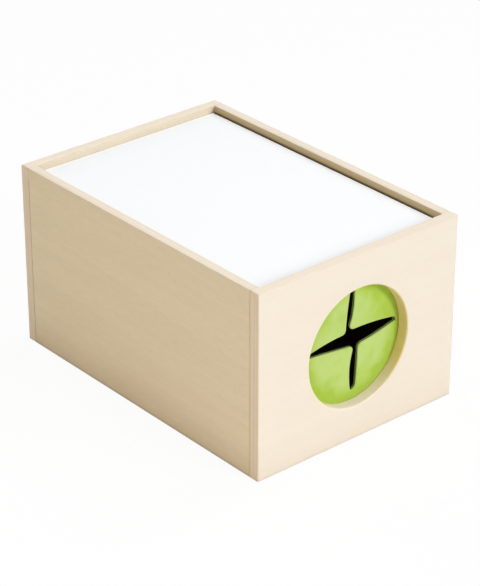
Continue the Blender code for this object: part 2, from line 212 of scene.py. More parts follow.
def add_node(tree, kind, inputs=None, stops=(), **settings):
    """Add a shader node with its settings, its colour stops and its inputs."""
    node = tree.nodes.new("ShaderNode" + kind)
    for name, value in settings.items():
        setattr(node, name, value)
    for i, (place, hex_code) in enumerate(stops):
        elements = node.color_ramp.elements
        stop = elements[i] if i < len(elements) else elements.new(place)
        stop.position = place
        stop.color = linear_colour(hex_code)
    set_inputs(tree, node, inputs or {})
    return node


def start_material(name):
    """A new material, its node tree and its principled shader."""
    material = bpy.data.materials.new(name)
    material.use_nodes = True
    tree = material.node_tree
    return material, tree, tree.nodes["Principled BSDF"]


def stretched_scale(grain_axis, across, along):
    """Scale that makes a pattern's cells so wide across the grain and so long along it."""
    scale = [1 / across] * 3
    scale[grain_axis] = 1 / along
    return scale


def ply_stops():
    """Stops across the sawn edge of a five-ply board, white in its two cross plies."""
    long_share, cross_share = 0.25, 0.125
    blur = 0.03
    plies = ((BLACK, long_share), (WHITE, cross_share), (BLACK, long_share), (WHITE, cross_share),
             (BLACK, long_share))
    reached = 0.0
    for hex_code, share in plies:
        yield reached + blur, hex_code
        reached += share
        yield reached - blur, hex_code


def sawn_edge(tree, board, place, depth, facing):
    """Sawn edge of a board: a ply is pale where it is cut along its grain, and honey-coloured across it.

    The end grain drinks the lacquer. The thin cross plies differ less, as glue has soaked into them.
    All plies wander a little, as veneers do.
    """
    wander_size, wander_share = 18 * MM, 0.05
    cross_thirst, glue_stain = 0.3, 0.3
    cross_axis = X + Y + Z - board.layer_axis - board.grain_axis
    wander = add_node(tree, "TexNoise", {"Vector": place, "Scale": 1 / wander_size, "Detail": SOFT})
    wandering = add_node(tree, "Math", {0: wander, 1: wander_share, 2: -wander_share / 2},
                         operation="MULTIPLY_ADD")
    ply_depth = add_node(tree, "Math", {0: depth, 1: wandering}, operation="ADD")
    in_cross_ply = add_node(tree, "ValToRGB", {"Fac": ply_depth}, stops=ply_stops())
    across_long = add_node(tree, "Math", {0: facing.outputs[board.grain_axis]}, operation="ABSOLUTE")
    across_cross = add_node(tree, "Math", {0: facing.outputs[cross_axis]}, operation="ABSOLUTE")
    glued = add_node(tree, "Math", {0: across_cross, 1: cross_thirst, 2: glue_stain},
                     operation="MULTIPLY_ADD")
    end_grain = add_node(tree, "Mix", {"Factor": in_cross_ply, "A": across_long, "B": glued})
    return add_node(tree, "Mix", {
        "Factor": end_grain, "A": linear_colour(BIRCH_EDGE), "B": linear_colour(BIRCH_END_GRAIN)},
        data_type="RGBA")


def face_veneers(tree, board, depth, height):
    """Colours of a board's outer and inner face, the inner one painted dark up to a height, as shade inside
    the box.
    """
    shade_blur = 1.2 * MM
    # The inner face is painted dark up to a height, as shade inside the box and in the lid's gap
    painted_inside_shade = add_node(tree, "MapRange", {
        "Value": height, "From Min": board.shade_top + shade_blur, "From Max": board.shade_top - shade_blur})
    inner_veneer = add_node(tree, "Mix", {
        "Factor": painted_inside_shade, "A": linear_colour(board.back), "B": linear_colour(SHADE_BROWN)}, data_type="RGBA")
    inner_side = add_node(tree, "Math", {0: depth, 1: HALF_WAY}, operation="GREATER_THAN")
    return add_node(tree, "Mix", {"Factor": inner_side, "A": linear_colour(board.face), "B": inner_veneer},
                    data_type="RGBA")


def painted_bore_light_and_shade(tree, place, wood):
    """Painted light and shade on the wall of the hand hole: pale cream at the bottom, where light falls from
    above, and honey-coloured higher up, for the shade there and the lime cover's bounce.

    The painted colour all but hides the plies.
    """
    lit_cream, shaded_honey = "#FFEBE7", "#F1D382"
    arris, hiding = 1.3 * MM, 0.8
    across_hole, hole_middle = Vector((1, 0, 1)), Vector((BOX_MIDDLE.x, 0, BOX_MIDDLE.z))
    level = add_node(tree, "VectorMath", {0: place, 1: across_hole}, operation="MULTIPLY")
    off_axis = add_node(tree, "VectorMath", {0: level, 1: hole_middle}, operation="DISTANCE")
    inside = add_node(tree, "MapRange", {
        "Value": off_axis.outputs["Value"], "From Min": HOLE_RADIUS + arris, "From Max": HOLE_RADIUS,
        "To Max": hiding})
    height = add_node(tree, "MapRange", {
        "Value": add_node(tree, "SeparateXYZ", {"Vector": place}).outputs[Z],
        "From Min": BOX_MIDDLE.z - HOLE_RADIUS, "From Max": BOX_MIDDLE.z})
    bore_light_and_shade = add_node(tree, "ValToRGB", {"Fac": height}, stops=((0, lit_cream), (HALF_WAY, shaded_honey)))
    return add_node(tree, "Mix", {"Factor": inside, "A": wood, "B": bore_light_and_shade}, data_type="RGBA")


def birch_grain(tree, place, grain_axis):
    """Growth rings, as contour lines of a stretched noise, then fibres and pores."""
    ring_width, ring_length, ring_phases = 26 * MM, 600 * MM, 30
    fibre_width, fibre_length = 1.6 * MM, 14 * MM
    pore_width, pore_length = 0.5 * MM, 6 * MM
    pore_start, pore_full = 0.62, 0.74
    broad = add_node(tree, "Mapping", {
        "Vector": place, "Scale": stretched_scale(grain_axis, ring_width, ring_length)})
    flame = add_node(tree, "TexNoise", {"Vector": broad, "Scale": 1, "Detail": FINE})
    ring_phase = add_node(tree, "Math", {0: flame, 1: ring_phases}, operation="MULTIPLY")
    rings = add_node(tree, "Math", {0: ring_phase}, operation="SINE")
    narrow = add_node(tree, "Mapping", {
        "Vector": place, "Scale": stretched_scale(grain_axis, fibre_width, fibre_length)})
    fibres = add_node(tree, "TexNoise", {"Vector": narrow, "Scale": 1, "Detail": RICH})
    thin = add_node(tree, "Mapping", {
        "Vector": place, "Scale": stretched_scale(grain_axis, pore_width, pore_length)})
    pore_noise = add_node(tree, "TexNoise", {"Vector": thin, "Scale": 1, "Detail": SOFT})
    pores = add_node(tree, "MapRange", {
        "Value": pore_noise, "From Min": pore_start, "From Max": pore_full})
    return rings, fibres, pores


def grain_tone(tree, figure, rings, fibres, pores):
    """Share of late-wood colour that the grain brings.

    The rings' offset keeps their share above zero, and the fibres' keeps the mean colour close to the
    veneer's own.
    """
    ring_depth, fibre_depth, pore_depth = 0.012 * figure, 0.1 * figure, 0.08 * figure
    fibre_offset = fibre_depth / 3
    late_wood = add_node(tree, "Math", {0: rings, 1: ring_depth, 2: ring_depth}, operation="MULTIPLY_ADD")
    off_mean = add_node(tree, "Math", {0: late_wood, 1: fibre_offset}, operation="SUBTRACT")
    streaks = add_node(tree, "Math", {0: fibres, 1: fibre_depth, 2: off_mean}, operation="MULTIPLY_ADD")
    return add_node(tree, "Math", {0: pores, 1: pore_depth, 2: streaks}, operation="MULTIPLY_ADD")


def lower_and_rim_tone(tree, figure, height, upwards):
    """Share of late-wood colour towards the lowest part, and on the rim's arrises as painted shade that dims
    the highlight they catch.

    The slopes pick out the arrises, which are neither upright nor level.
    """
    darkening_height, darkening_depth = 33 * MM, 0.13 * figure
    rim_height, rim_blur, rim_shade_depth = 3 * MM, 1 * MM, 0.2
    arris_slopes = ((0.1, BLACK), (0.5, WHITE), (0.9, WHITE), (0.99, BLACK))
    # Darker and warmer towards the bottom
    lower_darkening = add_node(tree, "MapRange", {
        "Value": height, "From Min": box_low.z + darkening_height, "From Max": box_low.z, "To Max": darkening_depth})
    # Painted shade on the rim's arrises, which dims the highlight that they catch
    rim = add_node(tree, "MapRange", {
        "Value": height, "From Min": box_high.z - rim_height,
        "From Max": box_high.z - rim_height + rim_blur, "To Max": rim_shade_depth})
    arris = add_node(tree, "ValToRGB", {"Fac": upwards}, stops=arris_slopes)
    return add_node(tree, "Math", {0: arris, 1: rim, 2: lower_darkening}, operation="MULTIPLY_ADD")


def birch_plywood(board):
    """Rotary-cut birch plywood, sanded and clear-lacquered, its inner face painted dark up to a height, as
    shade inside the box.

    It gives pale cream faces with a faint flame figure and short pores, a soft sheen, and thin lines
    on every sawn edge, where the plies show. It grows warmer and darker towards the bottom, its bottom
    edge gets a painted contact shade, and the arrises of the rim get painted shade that dims their
    highlight.
    """
    edge_slope, face_slope = 0.5, 0.9
    contact_shade_height, contact_shade_depth = 4 * MM, 0.25 * board.figure
    satin, dull = 0.46, 0.62
    relief, relief_depth = 0.2, 0.06 * MM
    material, tree, shader = start_material(f"birch plywood {board.node}")
    low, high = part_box(board.node)
    outer, inner = (high, low) if board.outwards > 0 else (low, high)
    spot = add_node(tree, "TexCoord")
    place = spot.outputs["Object"]
    split = add_node(tree, "SeparateXYZ", {"Vector": place})
    height = split.outputs[Z]
    facing = add_node(tree, "SeparateXYZ", {"Vector": spot.outputs["Normal"]})

    # Face veneers where the surface runs with the layers, plies where it cuts through them
    depth = add_node(tree, "MapRange", {
        "Value": split.outputs[board.layer_axis], "From Min": outer[board.layer_axis],
        "From Max": inner[board.layer_axis]})
    plies = sawn_edge(tree, board, place, depth, facing)
    veneers = face_veneers(tree, board, depth, height)
    flatness = add_node(tree, "Math", {0: facing.outputs[board.layer_axis]}, operation="ABSOLUTE")
    on_face = add_node(tree, "MapRange", {"Value": flatness, "From Min": edge_slope, "From Max": face_slope})
    plain = add_node(tree, "Mix", {"Factor": on_face, "A": plies, "B": veneers}, data_type="RGBA")
    # Painted light and shade on the hand hole's wall
    if board.bored:
        plain = painted_bore_light_and_shade(tree, place, plain)

    # Grain darkens it, it grows darker towards the bottom, the rim's arrises get painted shade, and the
    # bottom edge a painted contact shade
    rings, fibres, pores = birch_grain(tree, place, board.grain_axis)
    tone = add_node(tree, "Math", {
        0: grain_tone(tree, board.figure, rings, fibres, pores),
        1: lower_and_rim_tone(tree, board.figure, height, facing.outputs[Z])}, operation="ADD")
    clean = add_node(tree, "Mix", {"Factor": tone, "A": plain, "B": linear_colour(BIRCH_LATE_WOOD)},
                     data_type="RGBA")
    # Painted contact shade along the bottom edge
    contact_shade = add_node(tree, "MapRange", {
        "Value": height, "From Min": box_low.z + contact_shade_height, "From Max": box_low.z, "To Max": contact_shade_depth})
    wood = add_node(tree, "Mix", {"Factor": contact_shade, "A": clean, "B": linear_colour(SHADE_BROWN)},
                    data_type="RGBA")
    sheen = add_node(tree, "MapRange", {"Value": fibres, "To Min": satin, "To Max": dull})
    grooves = add_node(tree, "Math", {0: pores, 1: -1, 2: fibres}, operation="MULTIPLY_ADD")
    bump = add_node(tree, "Bump", {"Height": grooves, "Strength": relief, "Distance": relief_depth})
    set_inputs(tree, shader, {"Base Color": wood, "Roughness": sheen, "Normal": bump})
    return material


def white_laminate(node):
    """Fibreboard with melamine skins: cool white, a soft gloss over a fine pearl texture.

    The sawn edges show the brown board between the skins.
    """
    skin, board, cloud_grey = "#F8FAFC", "#B79A73", "#C9D4DE"
    skin_share, saw_blur = 0.15, 0.01
    cloud_size, cloud_depth, pearl_size = 35 * MM, 0.03, 0.9 * MM
    glossy, satin = 0.3, 0.44
    relief, relief_depth = 0.15, 0.03 * MM
    material, tree, shader = start_material("white melamine laminate")
    low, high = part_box(node)
    place = add_node(tree, "TexCoord").outputs["Object"]
    depth = add_node(tree, "MapRange", {
        "Value": add_node(tree, "SeparateXYZ", {"Vector": place}).outputs[Z],
        "From Min": high.z, "From Max": low.z})
    layers = add_node(tree, "ValToRGB", {"Fac": depth}, stops=(
        (skin_share - saw_blur, skin), (skin_share + saw_blur, board),
        (1 - skin_share - saw_blur, board), (1 - skin_share + saw_blur, skin)))
    cloud = add_node(tree, "TexNoise", {"Vector": place, "Scale": 1 / cloud_size, "Detail": RICH})
    tone = add_node(tree, "Math", {0: cloud, 1: cloud_depth}, operation="MULTIPLY")
    white = add_node(tree, "Mix", {"Factor": tone, "A": layers, "B": linear_colour(cloud_grey)},
                     data_type="RGBA")
    pearl = add_node(tree, "TexNoise", {"Vector": place, "Scale": 1 / pearl_size, "Detail": FINE})
    gloss = add_node(tree, "MapRange", {"Value": pearl, "To Min": glossy, "To Max": satin})
    bump = add_node(tree, "Bump", {"Height": pearl, "Strength": relief, "Distance": relief_depth})
    set_inputs(tree, shader, {"Base Color": white, "Roughness": gloss, "Normal": bump})
    return material


def beech(name, grain_axis):
    """Planed solid beech: warm pinkish tan with short dark ray flecks along the grain."""
    dark_streak, pale_streak, ray = "#CFA679", "#DFBE94", "#9C6B42"
    streak_width, streak_length = 5 * MM, 90 * MM
    dark_end, pale_start = 0.3, 0.7
    fleck_width, fleck_length = 0.5 * MM, 3 * MM
    fleck_start, fleck_full, fleck_depth = 0.6, 0.7, 0.35
    satin, dull = 0.5, 0.7
    relief, relief_depth = 0.2, 0.05 * MM
    material, tree, shader = start_material(name)
    place = add_node(tree, "TexCoord").outputs["Object"]
    broad = add_node(tree, "Mapping", {
        "Vector": place, "Scale": stretched_scale(grain_axis, streak_width, streak_length)})
    streaks = add_node(tree, "TexNoise", {"Vector": broad, "Scale": 1, "Detail": RICH})
    wood = add_node(tree, "ValToRGB", {"Fac": streaks}, stops=(
        (dark_end, dark_streak), (pale_start, pale_streak)))
    short = add_node(tree, "Mapping", {
        "Vector": place, "Scale": stretched_scale(grain_axis, fleck_width, fleck_length)})
    fleck_noise = add_node(tree, "TexNoise", {"Vector": short, "Scale": 1, "Detail": SMOOTH})
    flecks = add_node(tree, "MapRange", {
        "Value": fleck_noise, "From Min": fleck_start, "From Max": fleck_full, "To Max": fleck_depth})
    flecked = add_node(tree, "Mix", {"Factor": flecks, "A": wood, "B": linear_colour(ray)},
                       data_type="RGBA")
    sheen = add_node(tree, "MapRange", {"Value": streaks, "To Min": satin, "To Max": dull})
    bump = add_node(tree, "Bump", {"Height": flecks, "Strength": relief, "Distance": relief_depth})
    set_inputs(tree, shader, {"Base Color": flecked, "Roughness": sheen, "Normal": bump})
    return material


def zinc_steel():
    """Zinc-plated steel: grey metal with a faint yellow and blue tint and a patchy satin gloss."""
    yellowish, bluish = "#C3C2BC", "#B9BEC6"
    patch_size, yellow_end, blue_start = 2 * MM, 0.35, 0.65
    glossy, satin = 0.28, 0.42
    relief, relief_depth = 0.1, 0.02 * MM
    material, tree, shader = start_material("zinc-plated steel")
    place = add_node(tree, "TexCoord").outputs["Object"]
    patches = add_node(tree, "TexNoise", {"Vector": place, "Scale": 1 / patch_size, "Detail": FINE})
    plating = add_node(tree, "ValToRGB", {"Fac": patches}, stops=(
        (yellow_end, yellowish), (blue_start, bluish)))
    gloss = add_node(tree, "MapRange", {"Value": patches, "To Min": glossy, "To Max": satin})
    bump = add_node(tree, "Bump", {"Height": patches, "Strength": relief, "Distance": relief_depth})
    set_inputs(tree, shader, {"Base Color": plating, "Metallic": 1, "Roughness": gloss, "Normal": bump})
    return material


def knit_stitches(tree, cloth):
    """Relief of the knit: columns one stitch wide, whose rows slant up on both sides of the middle."""
    split = add_node(tree, "SeparateXYZ", {"Vector": cloth})
    column = add_node(tree, "Math", {0: split.outputs[X], 1: STITCH}, operation="DIVIDE")
    across = add_node(tree, "Math", {0: column}, operation="FRACT")
    off_middle = add_node(tree, "Math", {0: across, 1: HALF_WAY}, operation="SUBTRACT")
    slant = add_node(tree, "Math", {0: off_middle}, operation="ABSOLUTE")
    row = add_node(tree, "Math", {0: split.outputs[Y], 1: 1 / STITCH, 2: slant}, operation="MULTIPLY_ADD")
    row_angle = add_node(tree, "Math", {0: row, 1: math.tau}, operation="MULTIPLY")
    row_wave = add_node(tree, "Math", {0: row_angle}, operation="SINE")
    furrow = add_node(tree, "Math", {0: slant, 1: -1 / HALF_WAY, 2: 1}, operation="MULTIPLY_ADD")
    return add_node(tree, "Math", {0: row_wave, 1: ROW_RELIEF, 2: furrow}, operation="MULTIPLY_ADD")


def lime_dye(tree, cloth):
    """Dye that is pale and cloudy in the middle, with painted shade that deepens it towards the hole's edge.
    """
    pale_middle_lime, mid_lime, rim_shade_lime = "#BED676", "#B4D05E", "#A8C73D"
    shade_start_radius, shade_full_radius = 36 * MM, 48 * MM
    blotch_size, swatch_place = 26 * MM, (900 * MM, 0, 0)
    cloud_start, cloud_full, cloud_depth = 0.46, 0.7, 0.8
    swatch = add_node(tree, "VectorMath", {0: cloth, 1: swatch_place}, operation="ADD")
    blotches = add_node(tree, "TexNoise", {"Vector": swatch, "Scale": 1 / blotch_size, "Detail": FINE})
    clouds = add_node(tree, "MapRange", {
        "Value": blotches, "From Min": cloud_start, "From Max": cloud_full, "To Max": cloud_depth})
    off_centre = add_node(tree, "VectorMath", {0: cloth, 1: (*HOLE_FROM_CROSS, 0)}, operation="DISTANCE")
    # Painted shade that deepens the lime towards the hole's edge
    rim_shade_share = add_node(tree, "MapRange", {
        "Value": off_centre.outputs["Value"], "From Min": shade_start_radius, "From Max": shade_full_radius})
    shade_and_clouds = add_node(tree, "Math", {0: rim_shade_share, 1: clouds}, operation="ADD")
    return add_node(tree, "ValToRGB", {"Fac": shade_and_clouds}, stops=(
        (0, pale_middle_lime), (HALF_WAY, mid_lime), (1, rim_shade_lime)))


def knit_skin():
    """Nylon jersey on neoprene: matt lime, with fine columns of slanted stitches.

    The dye looks deeper in cloudy patches, and painted shade deepens it near the hole's edge.
    """
    furrow_shade_lime, furrow_shade_depth = "#7FA02E", 0.12
    fuzz_size, fuzz_relief = 0.8 * MM, 0.5
    sleek, fuzzy = 0.78, 0.95
    relief, relief_depth = 0.3, 0.12 * MM
    sheen, sheen_spread = 0.15, 0.5
    material, tree, shader = start_material("lime nylon jersey")
    cloth = add_node(tree, "TexCoord").outputs["UV"]
    stitches = knit_stitches(tree, cloth)
    # Painted shade in the knit's furrows
    shade = add_node(tree, "MapRange", {
        "Value": stitches, "From Min": -ROW_RELIEF, "From Max": 1 + ROW_RELIEF,
        "To Min": furrow_shade_depth, "To Max": 0})
    knit = add_node(tree, "Mix", {
        "Factor": shade, "A": lime_dye(tree, cloth), "B": linear_colour(furrow_shade_lime)}, data_type="RGBA")
    fuzz = add_node(tree, "TexNoise", {"Vector": cloth, "Scale": 1 / fuzz_size, "Detail": FINE})
    nap = add_node(tree, "MapRange", {"Value": fuzz, "To Min": sleek, "To Max": fuzzy})
    height = add_node(tree, "Math", {0: fuzz, 1: fuzz_relief, 2: stitches}, operation="MULTIPLY_ADD")
    bump = add_node(tree, "Bump", {"Height": height, "Strength": relief, "Distance": relief_depth})
    set_inputs(tree, shader, {"Base Color": knit, "Roughness": nap, "Normal": bump,
                              "Sheen Weight": sheen, "Sheen Roughness": sheen_spread})
    return material


def cut_foam(name, light_cell, pit_shade_colour):
    """Sliced closed-cell foam: matt, with tiny open cells along the cut, their pits painted darker as the
    shade in them.
    """
    cell_size, pit_reach, wall_reach = 0.5 * MM, 0.2, 0.6
    pit_roughness, wall_roughness = 0.95, 0.85
    relief, relief_depth = 0.4, 0.1 * MM
    material, tree, shader = start_material(name)
    place = add_node(tree, "TexCoord").outputs["UV"]
    cells = add_node(tree, "TexVoronoi", {"Vector": place, "Scale": 1 / cell_size})
    # Pits painted darker, as the shade in them
    foam = add_node(tree, "ValToRGB", {"Fac": cells}, stops=(
        (pit_reach, pit_shade_colour), (wall_reach, light_cell)))
    grit = add_node(tree, "MapRange", {"Value": cells, "To Min": pit_roughness, "To Max": wall_roughness})
    bump = add_node(tree, "Bump", {"Height": cells, "Strength": relief, "Distance": relief_depth})
    set_inputs(tree, shader, {"Base Color": foam, "Roughness": grit, "Normal": bump})
    return material


def seen_directly(tree):
    """1 on rays that show the surroundings: to the camera, or by way of gloss or glass."""
    path = add_node(tree, "LightPath")
    either = add_node(tree, "Math", {
        0: path.outputs["Is Camera Ray"], 1: path.outputs["Is Glossy Ray"]}, operation="MAXIMUM")
    return add_node(tree, "Math", {0: either, 1: path.outputs["Is Transmission Ray"]}, operation="MAXIMUM")


def white_paper_floor():
    """Seamless white paper: white to the camera, with a trace of the object's shadow."""
    hollow, ridge = "#F4F4F4", "#F8F8F8"
    tooth_size, hollow_end, ridge_start = 3 * MM, 0.3, 0.7
    matt, white_share = 0.9, 0.93
    material, tree, shader = start_material("white paper")
    place = add_node(tree, "TexCoord").outputs["Object"]
    tooth = add_node(tree, "TexNoise", {"Vector": place, "Scale": 1 / tooth_size, "Detail": FINE})
    paper = add_node(tree, "ValToRGB", {"Fac": tooth}, stops=((hollow_end, hollow), (ridge_start, ridge)))
    set_inputs(tree, shader, {"Base Color": paper, "Roughness": matt})
    glow = add_node(tree, "Emission", {"Color": linear_colour(WHITE), "Strength": 1})
    share = add_node(tree, "Math", {0: seen_directly(tree), 1: white_share}, operation="MULTIPLY")
    mixed = add_node(tree, "MixShader", {0: share, 1: shader, 2: glow})
    set_inputs(tree, tree.nodes["Material Output"], {"Surface": mixed})
    return material


# Meshes and objects


def finish_mesh(name, bm):
    """Turn a bmesh into a mesh with its faces pointing out."""
    bmesh.ops.recalc_face_normals(bm, faces=bm.faces)
    mesh = bpy.data.meshes.new(name)
    bm.to_mesh(mesh)
    bm.free()
    return mesh


def add_object(name, data, matrix=Matrix.Identity(4)):
    """Put a mesh, lamp or camera into the scene."""
    thing = bpy.data.objects.new(name, data)
    thing.matrix_world = matrix
    bpy.context.scene.collection.objects.link(thing)
    return thing


def carve(piece, cutter):
    """Cut one object's shape out of another for good, and shade the result."""
    modifier = piece.modifiers.new("cuts", "BOOLEAN")
    modifier.object = cutter
    modifier.operation = "DIFFERENCE"
    modifier.solver = "EXACT"
    graph = bpy.context.evaluated_depsgraph_get()
    piece.data = bpy.data.meshes.new_from_object(piece.evaluated_get(graph), depsgraph=graph)
    piece.modifiers.clear()
    piece.data.shade_smooth()
    piece.data.set_sharp_from_angle(angle=SHARP_ANGLE)


def nodes_named(part_of_name):
    """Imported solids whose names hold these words."""
    return [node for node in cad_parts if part_of_name in node]


# Stretch covers


class Spot(NamedTuple):
    """A place on the section through a quarter of a cover."""

    point: Vector  # x and z from the cross's centre
    depth: float  # behind the front skin
    finish: int  # of the strip that follows it


def rounded_corner(before, corner, after):
    """Arc of the tip radius that rounds the corner between two straight directions."""
    to_before = (before - corner).normalized()
    to_after = (after - corner).normalized()
    half_angle = to_before.angle(to_after) / 2
    bisector = (to_before + to_after).normalized()
    centre = corner + bisector * TIP_RADIUS / math.sin(half_angle)
    tangent = TIP_RADIUS / math.tan(half_angle)
    first = (corner + to_before * tangent - centre).normalized()
    last = (corner + to_after * tangent - centre).normalized()
    turns = [first.slerp(last, i / TIP_STEPS) for i in range(TIP_STEPS + 1)]
    return [centre + turn * TIP_RADIUS for turn in turns]


def bowed_edge(start, control, end):
    """Points of a quadratic curve, without its end."""
    for i in range(EDGE_STEPS):
        t = i / EDGE_STEPS
        yield start * (1 - t) ** 2 + control * 2 * t * (1 - t) + end * t ** 2


def flap_outline(flap):
    """Outline of a flap from the cross's centre, from one end of its fold line to the other."""
    level_start = Vector((flap.side * (SLIT_REACH - flap.level_gap), flap.level * flap.level_gap))
    upright_start = Vector((flap.side * flap.upright_gap, flap.level * (SLIT_REACH - flap.upright_gap)))
    tip = Vector(flap.tip)
    level_control = (level_start + tip) / 2 + Vector((0, flap.level * flap.level_bow))
    upright_control = (upright_start + tip) / 2 + Vector((flap.side * flap.upright_bow, 0))
    arc = rounded_corner(level_control, tip, upright_control)
    level_edge = list(bowed_edge(level_start, level_control, arc[0]))
    upright_edge = list(bowed_edge(upright_start, upright_control, arc[-1]))
    return level_edge + arc + upright_edge[::-1]


def slit_end(along, across, radius):
    """Points round one side of a slit's round end, from its far point on."""
    for i in range(SLIT_END_STEPS):
        angle = QUARTER_TURN * i / SLIT_END_STEPS
        yield along * (SLIT_REACH - radius + radius * math.cos(angle)) + across * radius * math.sin(angle)


def cut_line(flap):
    """Cut edge of a quarter: round the level slit's end, along the flap, round the upright slit's end."""
    across, up = Vector((flap.side, 0)), Vector((0, flap.level))
    level_end = list(slit_end(across, up, flap.level_gap))
    upright_end = list(slit_end(up, across, flap.upright_gap))
    return level_end + flap_outline(flap) + upright_end[::-1]


def inward_normals(line, flap):
    """Directions from a quarter's cut line into the fabric."""
    before = Vector((line[1].x, -line[1].y))
    after = Vector((-line[-2].x, line[-2].y))
    ends_added = [before, *line, after]
    for previous, following in zip(ends_added, ends_added[2:]):
        along = (following - previous).normalized()
        yield Vector((along.y, -along.x)) * flap.side * flap.level


def run_lengths(line):
    """How far along a line each of its points lies."""
    lengths = [0.0]
    for point, following in zip(line, line[1:]):
        lengths.append(lengths[-1] + (following - point).length)
    return lengths


def rim_line(line, flap, radius):
    """Clamped outer edge of a quarter: a point on the cover's circle for each point of its cut line."""
    lengths = run_lengths(line)
    for length in lengths:
        angle = QUARTER_TURN * length / lengths[-1]
        ray = Vector((flap.side * math.cos(angle), flap.level * math.sin(angle)))
        nearest = ray.dot(HOLE_FROM_CROSS)
        reach = nearest + math.sqrt(nearest ** 2 - HOLE_FROM_CROSS.length_squared + radius ** 2)
        yield ray * reach


def edge_profile():
    """(Inset from the cut line, depth, finish of the strip that follows) from front skin to back skin."""
    half = []
    for i in range(1, ROLL_STEPS + 1):
        angle = QUARTER_TURN * i / ROLL_STEPS
        finish = KNIT if i < ROLL_STEPS - 1 else CUT_SKIN
        half.append((SKIN_ROLL * (1 - math.sin(angle)), SKIN_THICKNESS * (1 - math.cos(angle)), finish))
    half.append((CORE_SINK, SKIN_THICKNESS + CORE_SINK, CORE))
    back_finishes = [finish for inset, depth, finish in half[:-1]][::-1] + [KNIT]
    back = [(inset, COVER_THICKNESS - depth, finish)
            for (inset, depth, _), finish in zip(half[::-1], back_finishes)]
    return half + back


def quarter_section(rim, cut, inwards):
    """Spots of a section through a quarter, from its rim to its cut edge and back."""
    edge = cut + inwards * SKIN_ROLL
    face = [rim.lerp(edge, i / COVER_ROWS) for i in range(COVER_ROWS + 1)]
    front = [Spot(point, 0.0, KNIT) for point in face]
    around = [Spot(cut + inwards * inset, depth, finish) for inset, depth, finish in edge_profile()]
    back = [Spot(point, COVER_THICKNESS, KNIT) for point in face[::-1]]
    return front + around + back


def set_back(point, flap):
    """How far the fabric lies behind its clamped plane: it crowns out of the hole, and its tip leans."""
    diagonal = Vector((flap.side, flap.level)).normalized()
    fold = SLIT_REACH / math.sqrt(2)
    towards_tip = max(0.0, 1 - point.dot(diagonal) / fold)
    off_middle = min(1.0, (point - HOLE_FROM_CROSS).length / HOLE_RADIUS)
    return flap.lean * towards_tip ** 2 - COVER_CROWN * (1 - off_middle ** 2) ** 2


def quarter_mesh(name, flap, radius):
    """Closed mesh of one quarter about the cross's centre, with its cloth map in metres."""
    line = cut_line(flap)
    lengths = run_lengths(line)
    sections = [quarter_section(rim, cut, inwards) for rim, cut, inwards
                in zip(rim_line(line, flap, radius), line, inward_normals(line, flap))]
    bm = bmesh.new()
    cloth = bm.loops.layers.uv.new("cloth")
    columns = [[bm.verts.new((spot.point.x, spot.depth + set_back(spot.point, flap), spot.point.y))
                for spot in section] for section in sections]
    rows = len(sections[0])
    for i in range(len(sections) - 1):
        for k in range(rows):
            corners = [(i, k), (i + 1, k), (i + 1, (k + 1) % rows), (i, (k + 1) % rows)]
            face = bm.faces.new([columns[column][row] for column, row in corners])
            face.material_index = sections[i][k].finish
            flat = face.material_index == KNIT
            for loop, (column, row) in zip(face.loops, corners):
                spot = sections[column][row]
                loop[cloth].uv = spot.point if flat else (lengths[column], spot.depth)
    bm.faces.new(columns[0])
    bm.faces.new(columns[-1])
    return finish_mesh(name, bm)


def screw_bores(end_name):
    """Cutter for the holes that the ring's screws make in a cover."""
    radius = SCREW_SHANK_RADIUS + SCREW_CLEARANCE
    bm = bmesh.new()
    for screw in nodes_named(f"{end_name}_ring_screw"):
        low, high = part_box(screw)
        place = Matrix.Translation((low + high) / 2) @ Matrix.Rotation(QUARTER_TURN, 4, "X")
        bmesh.ops.create_cone(bm, cap_ends=True, segments=BORE_STEPS, radius1=radius, radius2=radius,
                              depth=high.y - low.y, matrix=place)
    return add_object("screw_bores", finish_mesh("screw_bores", bm))


def outline_area(outline):
    """Area inside a closed outline."""
    pairs = zip(outline, outline[1:] + outline[:1])
    return abs(sum(a.x * b.y - b.x * a.y for a, b in pairs)) / 2


def add_cover_quarter(end_name, flap_name, place, radius, cutter, finishes):
    """One quarter of a cover, clamped at its rim, in place of its flap's imported solid."""
    flap = FLAPS[flap_name]
    body = f"{end_name}_flap_{flap_name}"
    name = f"{end_name}_cover_{flap_name}"
    piece = add_object(name, quarter_mesh(name, flap, radius), place)
    for finish in finishes:
        piece.data.materials.append(finish)
    carve(piece, cutter)

    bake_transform(piece)
    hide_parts(body, f"{end_name}_cover_rim")
    cut = cut_line(flap)
    outline = cut + list(rim_line(cut, flap, radius))[::-1]
    outline_area(outline)


def add_covers():
    """The front and the rear cover, four quarters each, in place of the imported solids."""
    # The darker colour of each foam is painted shade in its pits
    finishes = [knit_skin(), cut_foam("cut jersey edge", "#A3B277", "#8A995F"),
                cut_foam("lime neoprene foam", "#6C8837", "#556C2B")]
    for end_name, turn in (("front", 0), ("rear", math.pi)):
        low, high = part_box(f"{end_name}_cover_rim")
        radius = (high.x - low.x) / 2
        outer_face = Vector((CROSS_SHIFT, -COVER_THICKNESS / 2, CROSS_RISE))
        turned = Matrix.Translation((low + high) / 2) @ Matrix.Rotation(turn, 4, "Z")
        place = turned @ Matrix.Translation(outer_face)
        cutter = screw_bores(end_name)
        for flap_name in FLAPS:
            add_cover_quarter(end_name, flap_name, place, radius, cutter, finishes)
        bpy.data.meshes.remove(cutter.data)


# Clamp screws


